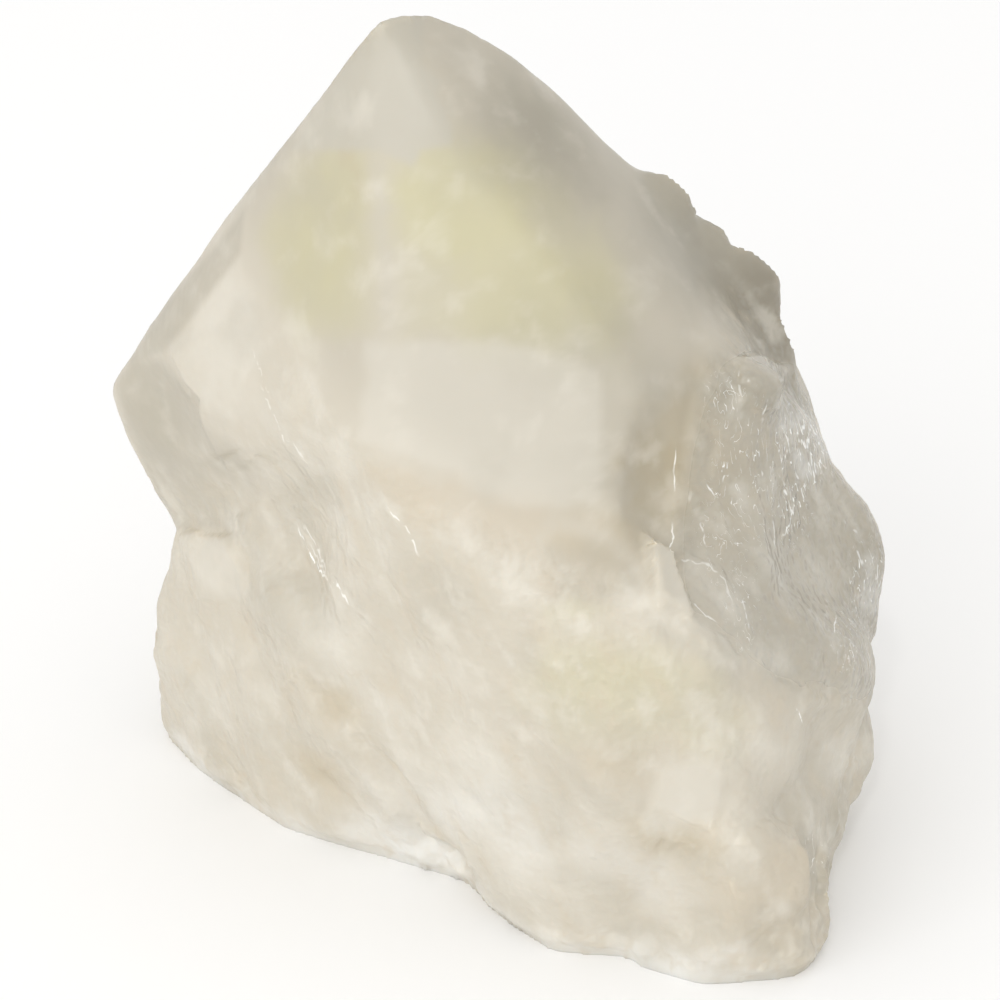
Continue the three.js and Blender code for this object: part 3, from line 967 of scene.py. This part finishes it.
def quartz_material(finish):
    """Milky quartz: its colour comes from the mesh, and its painted glints and fine relief from
    noise.
    """
    material = bpy.data.materials.new("milky_quartz")
    material.use_nodes = True
    tree = material.node_tree
    tree.nodes.clear()
    where = tree.nodes.new("ShaderNodeTexCoord").outputs["Object"]
    place = vector_scaled(tree, where, 1 / MM)

    def attribute(name, output="Fac"):
        settings = {"attribute_name": name, "attribute_type": "GEOMETRY"}
        return add_node(tree, "ShaderNodeAttribute", settings).outputs[output]

    broken = attribute("broken")
    glassy = attribute("glassy")

    # the finest relief
    fine = noise_node(tree, place, *FINE)
    rise = ranged(tree, broken, 0, 1, *FINE_RISE, "LINEAR")
    rise = plus(tree, rise, times(tree, glassy, GLASSY_RISE))
    bump = add_node(tree, "ShaderNodeBump", None, {
        "Height": times(tree, fine, rise), "Strength": 0.6, "Distance": FINE_BUMP * MM})

    # painted glints: short bright fissures, upright in the glassy fracture, mixed into the base
    # colour
    stretched = vector_node(tree, "MULTIPLY", place, FISSURE_STRETCH)
    fissure = noise_node(tree, stretched, *FISSURES)
    fissure = math_node(tree, "SUBTRACT", fissure, 0.5)
    sparkle = math_node(tree, "MAXIMUM", attribute("sparkle"), 0.001)
    away = math_node(tree, "DIVIDE", math_node(tree, "ABSOLUTE", fissure), sparkle)
    glint = times(tree, ranged(tree, away, *GLINT_WIDTH, 1.0, 0.0),
                  ranged(tree, fine, *GLINT_GAPS))

    # and longer painted glints along the cracks, broken up by gaps
    wander = times(tree, fissure, finish.crack_wander)
    gaps = ranged(tree, fine, *CRACK_GAPS)
    for number in range(len(CRACK_LAYERS)):
        across = plus(tree, attribute(f"crack_across_{number}"), wander)
        across = math_node(tree, "ABSOLUTE", across)
        line = ranged(tree, across, CRACK_CORE, finish.crack_width, 1.0, 0.0)
        line = times(tree, line, attribute(f"crack_{number}"), gaps)
        glint = math_node(tree, "MAXIMUM", glint, line)
    colour = mixed(tree, glint, attribute("tint", "Color"), (*linear(*GLINT_COLOUR), 1.0))

    rough = ranged(tree, broken, 0, 1, finish.polish_roughness, finish.broken_roughness)
    rough = math_node(tree, "SUBTRACT", rough, times(tree, glassy, GLASSY_GLOSS))

    shader = add_node(tree, "ShaderNodeBsdfPrincipled", None, {
        "Base Color": colour,
        "Roughness": rough,
        "IOR": finish.ior,
        "Subsurface Weight": 1.0,
        "Subsurface Radius": (1.0, 0.85, 0.65),
        "Subsurface Scale": finish.depth,
        "Transmission Weight": times(tree, glassy, finish.clearness),
        "Normal": bump.outputs[0],
    })
    shader.subsurface_method = "BURLEY"
    out = tree.nodes.new("ShaderNodeOutputMaterial")
    tree.links.new(shader.outputs[0], out.inputs["Surface"])
    return material


# ---- settings ----


def length_prop(name, description, millimetres, **limits):
    return FloatProperty(name=name, description=description, default=millimetres * MM,
                         unit="LENGTH", **limits)


def passes_prop(name, description, count):
    return IntProperty(name=name, description=description, default=count, min=0)


def share_prop(name, description, amount):
    return FloatProperty(name=name, description=description, default=amount, min=0, max=1,
                         subtype="FACTOR")


def tint_prop(name, description, value):
    return FloatVectorProperty(name=name, description=description, subtype="COLOR", size=3,
                               default=value, min=0, max=1)


def number_prop(name, description, value, **limits):
    return FloatProperty(name=name, description=description, default=value, **limits)


class FormSettings(bpy.types.PropertyGroup):
    grain: length_prop("Grain", "Length of the mesh's edges", 0.585, min=0.4 * MM)
    polish_rounding: passes_prop("Polish Rounding", "Passes that round the polished edges", 8)
    worn_rounding: passes_prop("Worn Rounding", "Passes that round the worn polished edges", 160)
    blending: passes_prop("Blending", "Passes that blend the fills into the stone", 160)
    broken_rounding: passes_prop("Broken Rounding", "Passes that soften the broken sides", 16)
    swell_height: length_prop("Swell Height", "Broad unevenness of the broken sides", 2.2)
    swell_size: length_prop("Swell Size", "Spacing of the broad unevenness", 9)
    step_height: length_prop("Step Height", "Height of the flat steps on the broken sides", 0.12)
    step_size: length_prop("Step Size", "Spacing of the flat steps", 18)
    splinter_tilt: number_prop(
        "Splinter Tilt", "Steepness of the splinters in the glassy fracture", 0.28)
    splinter_size: length_prop("Splinter Size", "Width of the splinters", 2.2)
    patch_size: length_prop("Patch Size", "Spacing of the splintered patches", 7)
    crease_height: length_prop("Crease Height", "Depth of the folds along the stone's grain", 1.6)
    crease_size: length_prop("Crease Size", "Spacing of the folds", 8)
    crumble_height: length_prop(
        "Crumble Height", "Height of the grains where the stone crumbles", 1.2)
    grain_height: length_prop("Grain Height", "Height of the fine roughness", 0.5)
    grain_size: length_prop("Grain Size", "Spacing of the fine roughness", 1.8)
    fullness: length_prop("Fullness", "How far the skin is drawn out again after rounding", 0.35)
    fray: length_prop("Fray", "How ragged the outlines of the tints are", 0.9)
    seed: number_prop("Seed", "Choice of the unevenness", 3.0)


class FinishSettings(bpy.types.PropertyGroup):
    milk: tint_prop("Milk", "The stone's main colour", linear(201, 194, 179))
    # white: pale veils, and also painted light on the standing shard's lit face and the diagonal
    # ridge's crest, and painted glints on the fracture
    white: tint_prop("White", "Colour of the pale veils", linear(213, 208, 196))
    # pale: the white vein at the tip, and also a painted highlight along the worn ridge below it
    pale: tint_prop("Pale", "Colour of the streaks near the tip", linear(198, 193, 180))
    # bright: painted light, for the glow of the thin rims near the base and the whitish glint
    # patches in the glassy fracture
    bright: tint_prop("Bright", "Colour of the thin rims that let light in", linear(234, 234, 231))
    olive: tint_prop("Olive", "Colour of the clearer clouds", linear(203, 197, 160))
    peach: tint_prop("Peach", "Colour of the warm bands", linear(196, 184, 163))
    # amber: stained spots, and also painted shade in the grooves and creases and under the low
    # shard
    amber: tint_prop("Amber", "Colour of the stained spots", linear(184, 169, 138))
    # grey: the glassy parts, and also painted shade on the top right rim, along crisp edges, in the
    # fold by the fracture, under the low shard and beside the lower lobe
    grey: tint_prop("Grey", "Colour of the glassy parts", linear(172, 166, 151))
    # painted shade: the colour that darkens the top right rim where it turns away from the light
    smoke: tint_prop("Painted Rim Shade", "Colour of the darkest glassy rim", linear(128, 121, 106))
    body_tint: tint_prop("Body Tint", "How the whole stone is darkened", (0.93, 0.925, 0.915))
    clear_tint: tint_prop(
        "Clear Tint", "How the clearer polished end is darkened", (0.88, 0.88, 0.87))
    drift: number_prop("Drift", "How far the clouds' outlines wander, in millimetres", 9)
    fine_drift: number_prop("Fine Drift", "How much the clouds' edges fray, in millimetres", 3)
    veils: share_prop("Veils", "Strength of the faint streaks all through", 0.4)
    mottling: share_prop("Mottling", "Strength of the small flecks on the broken sides", 0.5)
    depth: length_prop("Depth", "How far light spreads under the surface", 1.0)
    clearness: share_prop("Clearness", "Share of light let through the glassy parts", 0.12)
    crack_width: number_prop("Crack Width", "Half width of the cracks, in millimetres", 0.12,
                        min=0.06)
    crack_wander: number_prop("Crack Wander", "How far the cracks wander, in millimetres", 0.6,
                         min=0)
    ior: number_prop("IOR", "How strongly quartz bends light", 1.54)
    polish_roughness: share_prop("Polish Roughness", "Roughness of the polished faces", 0.38)
    broken_roughness: share_prop("Broken Roughness", "Roughness of the broken sides", 0.42)


class StageSettings(bpy.types.PropertyGroup):
    floor_size: number_prop("Floor Size", "Width of the floor", 4.0, unit="LENGTH")
    floor_colour: tint_prop("Floor Colour", "Colour of the floor", (0.94, 0.94, 0.94))
    sky: number_prop("Sky", "Strength of the even light from all round", 0.95)
    key: number_prop("Key", "Power of the large soft light at the front left, in watts", 4.2)
    spark: number_prop("Spark", "Power of the small light that makes the glints, in watts", 1.0)


# ---- operators ----


class QUARTZ_OT_stone(bpy.types.Operator):
    """Builds the stone round its solid: skin, forms, unevenness and finish"""

    bl_idname = "quartz.stone"
    bl_label = "Build Stone"

    def execute(self, context):
        form = context.scene.quartz_form
        finish = context.scene.quartz_finish
        piece = self.skin(context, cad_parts[NODE], form)
        self.shape(piece.data, form)
        material = quartz_material(finish)
        run_nodes(piece, broken_surface_tree(material), form)
        run_nodes(piece, cloud_tree(material, finish), finish)
        for face in piece.data.polygons:
            face.use_smooth = True
        self.level_base(piece.data)
        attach(piece, BODY)
        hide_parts(NODE)
        return {"FINISHED"}

    def skin(self, context, solid, form):
        """A fine even skin over a copy of the solid and its fills."""
        mesh = solid.data.copy()
        mesh.materials.clear()
        made = bmesh.new()
        made.from_mesh(mesh)
        bmesh.ops.remove_doubles(made, verts=made.verts, dist=0.001 * MM)
        for centre, radius in FILLS:
            place = Matrix.Translation(Vector(centre) * MM)
            bmesh.ops.create_icosphere(made, subdivisions=3, radius=radius * MM, matrix=place)
        made.to_mesh(mesh)
        made.free()
        piece = linked(context, PIECE, mesh)
        remesh = piece.modifiers.new("Skin", "REMESH")
        remesh.mode = "VOXEL"
        remesh.voxel_size = form.grain
        keep_evaluated(piece)
        return piece

    def shape(self, mesh, form):
        """Rounds the edges, raises and cuts the named forms, and marks the kinds of ground."""
        points = points_of(mesh)
        edges = read(mesh.edges, "vertices", 2, np.int32)
        limit = polish_of(points)[:, None]
        polish = relaxed(limit, edges, LIMIT_BLUR, np.ones(len(points)))[:, 0]
        points = self.softened(points, edges, polish, normals_of(mesh) @ VIEW_BACK, form)
        set_points(mesh, points)
        points = points + normals_of(mesh) * self.fuller(points, form)[:, None]
        set_points(mesh, points)
        normals = normals_of(mesh)
        towards = normals @ VIEW_BACK
        places = seen_from_camera(points)
        height = np.zeros(len(points))
        for rise, forms in ((swell, RIDGES + GROOVES), (step, LEDGES), (shard, SHARDS)):
            for values in forms:
                height += rise(places, *values)
        points = points + normals * (height * eased(towards, *RAISED_FACING))[:, None]
        set_points(mesh, points)
        self.mark(mesh, points, places, towards, (1 - polish) * above_base(points), form)

    def softened(self, points, edges, polish, towards, form):
        """The points with their edges rounded, some of them worn down, and the fills blended
        in."""
        places = seen_from_camera(points)
        worn = np.max([near_path(places, *edge) for edge in WORN_EDGES], axis=0)
        worn = worn * eased(towards, *WORN_FACING)
        soft = 1 - CRISPNESS * inside(points, CRISP_ZONES)
        points = relaxed(points, edges, form.polish_rounding, np.ones(len(points)))
        points = relaxed(points, edges, form.broken_rounding, (1 - polish) * soft)
        points = relaxed(points, edges, form.worn_rounding, worn)
        blended = inside(points, BLENDED_ZONES) * soft * (1 - polish)
        behind = 1 - eased(towards, *RIM_FACING)
        blended = np.maximum(blended, inside(points, RIM_ZONES) * behind)
        return relaxed(points, edges, form.blending, blended)

    def fuller(self, points, form):
        """How far each point is drawn out, which gives back the width that rounding took."""
        reach = np.full(len(points), form.fullness)
        for centre, size, more in FULLER_ZONES:
            reach += more * MM * inside(points, ((centre, size),))
        return reach * above_base(points)

    def mark(self, mesh, points, places, towards, broken, form):
        """Stores where the stone is broken, glassy, cracked and tinted, for the node trees; the
        tints include painted shade and light, and sparkle and cracks mark where glints are painted.
        """
        facing = eased(towards, *RAISED_FACING)
        ragged = frayed(places, points, form.fray)
        glassy = in_outline(ragged, GLASSY_OUTLINE, GLASSY_BLUR) * facing * broken
        store(mesh, "broken", broken * (1 - CALMNESS * inside(points, CALM_ZONES)))
        store(mesh, "glassy", glassy)
        store(mesh, "crumbly", inside(points, CRUMBLY_ZONES))
        store(mesh, "clear", eased(over_limit(points), *CLEAR_EDGE))
        store(mesh, "sparkle", broken * in_ovals(places, SPARKLES) * facing)
        for tint in SHEET_TINTS:
            most = np.zeros(len(points))
            for covers, shapes in ((in_outline, SHEETS), (near_path, BANDS)):
                for name, corners, blur, strength in shapes:
                    if name == tint:
                        where = ragged if blur > CRISP_BLUR else places
                        most = np.maximum(most, strength * covers(where, corners, blur))
            store(mesh, "sheet_" + tint, most * eased(towards, *TINTED_FACING))
        for number, cracks in enumerate(CRACK_LAYERS):
            across, strength = crack_layer(places, cracks)
            store(mesh, f"crack_across_{number}", across)
            store(mesh, f"crack_{number}", strength * facing)

    def level_base(self, mesh):
        """Puts the sawn base back on its plane."""
        points = points_of(mesh)
        points[points[:, 2] < BASE_RIM * MM, 2] = 0.0
        set_points(mesh, np.clip(points, *np.array(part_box(NODE))))
        mesh.set_sharp_from_angle(angle=RIM_SHARPNESS)


class QUARTZ_OT_stage(bpy.types.Operator):
    """Sets the pale floor, the soft lights and the camera"""

    bl_idname = "quartz.stage"
    bl_label = "Set Stage"

    def execute(self, context):
        stage = context.scene.quartz_stage
        self.floor(context, stage)
        self.sky(context, stage)
        self.area(context, "key_light", *KEY_LIGHT, stage.key)
        self.area(context, "spark_light", *SPARK_LIGHT, stage.spark)
        self.camera(context)
        context.scene.view_settings.view_transform = "Standard"
        return {"FINISHED"}

    def floor(self, context, stage):
        half = stage.floor_size / 2
        corners = [(-half, -half, 0), (half, -half, 0), (half, half, 0), (-half, half, 0)]
        mesh = bpy.data.meshes.new("floor")
        mesh.from_pydata(corners, [], [(0, 1, 2, 3)])
        floor = linked(context, "floor", mesh)
        material = bpy.data.materials.new("pale_floor")
        material.use_nodes = True
        shader = material.node_tree.nodes["Principled BSDF"]
        shader.inputs["Base Color"].default_value = (*stage.floor_colour, 1.0)
        shader.inputs["Roughness"].default_value = FLOOR_ROUGHNESS
        mesh.materials.append(material)

    def sky(self, context, stage):
        world = bpy.data.worlds.new("soft_sky")
        context.scene.world = world
        world.use_nodes = True
        background = world.node_tree.nodes["Background"]
        background.inputs["Color"].default_value = SKY_COLOUR
        background.inputs["Strength"].default_value = stage.sky

    def area(self, context, name, place, size, power):
        light = bpy.data.lights.new(name, "AREA")
        light.energy = power
        light.size = size
        lamp = linked(context, name, light)
        lamp.location = place
        lamp.rotation_euler = (VIEW_TARGET - Vector(place)).to_track_quat("-Z", "Y").to_euler()

    def camera(self, context):
        lens = bpy.data.cameras.new("camera")
        lens.lens = VIEW_LENS
        lens.sensor_width = SENSOR
        camera = linked(context, "camera", lens)
        camera.location = VIEW_TARGET + Vector(VIEW_BACK) * VIEW_DISTANCE
        camera.rotation_euler = (math.pi / 2 - VIEW_ELEVATION, 0, 0)
        context.scene.camera = camera


class QUARTZ_PT_panel(bpy.types.Panel):
    """Lists the stone's settings and the buttons that build it"""

    bl_idname = "QUARTZ_PT_panel"
    bl_label = "Quartz Point"
    bl_space_type = "VIEW_3D"
    bl_region_type = "UI"
    bl_category = "Quartz"

    def draw(self, context):
        scene = context.scene
        for settings, operator in (
            (scene.quartz_form, None),
            (scene.quartz_finish, QUARTZ_OT_stone.bl_idname),
            (scene.quartz_stage, QUARTZ_OT_stage.bl_idname),
        ):
            box = self.layout.box()
            for name in settings.__annotations__:
                box.prop(settings, name)
            if operator:
                box.operator(operator)


CLASSES = (FormSettings, FinishSettings, StageSettings,
           QUARTZ_OT_stone, QUARTZ_OT_stage, QUARTZ_PT_panel)


def register():
    for cls in CLASSES:
        bpy.utils.register_class(cls)
    bpy.types.Scene.quartz_form = PointerProperty(type=FormSettings)
    bpy.types.Scene.quartz_finish = PointerProperty(type=FinishSettings)
    bpy.types.Scene.quartz_stage = PointerProperty(type=StageSettings)


def unregister():
    del bpy.types.Scene.quartz_stage
    del bpy.types.Scene.quartz_finish
    del bpy.types.Scene.quartz_form
    for cls in reversed(CLASSES):
        bpy.utils.unregister_class(cls)


def main():
    register()
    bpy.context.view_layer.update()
    bpy.ops.quartz.stone()
    bpy.ops.quartz.stage()


if __name__ == "__main__":
    main()
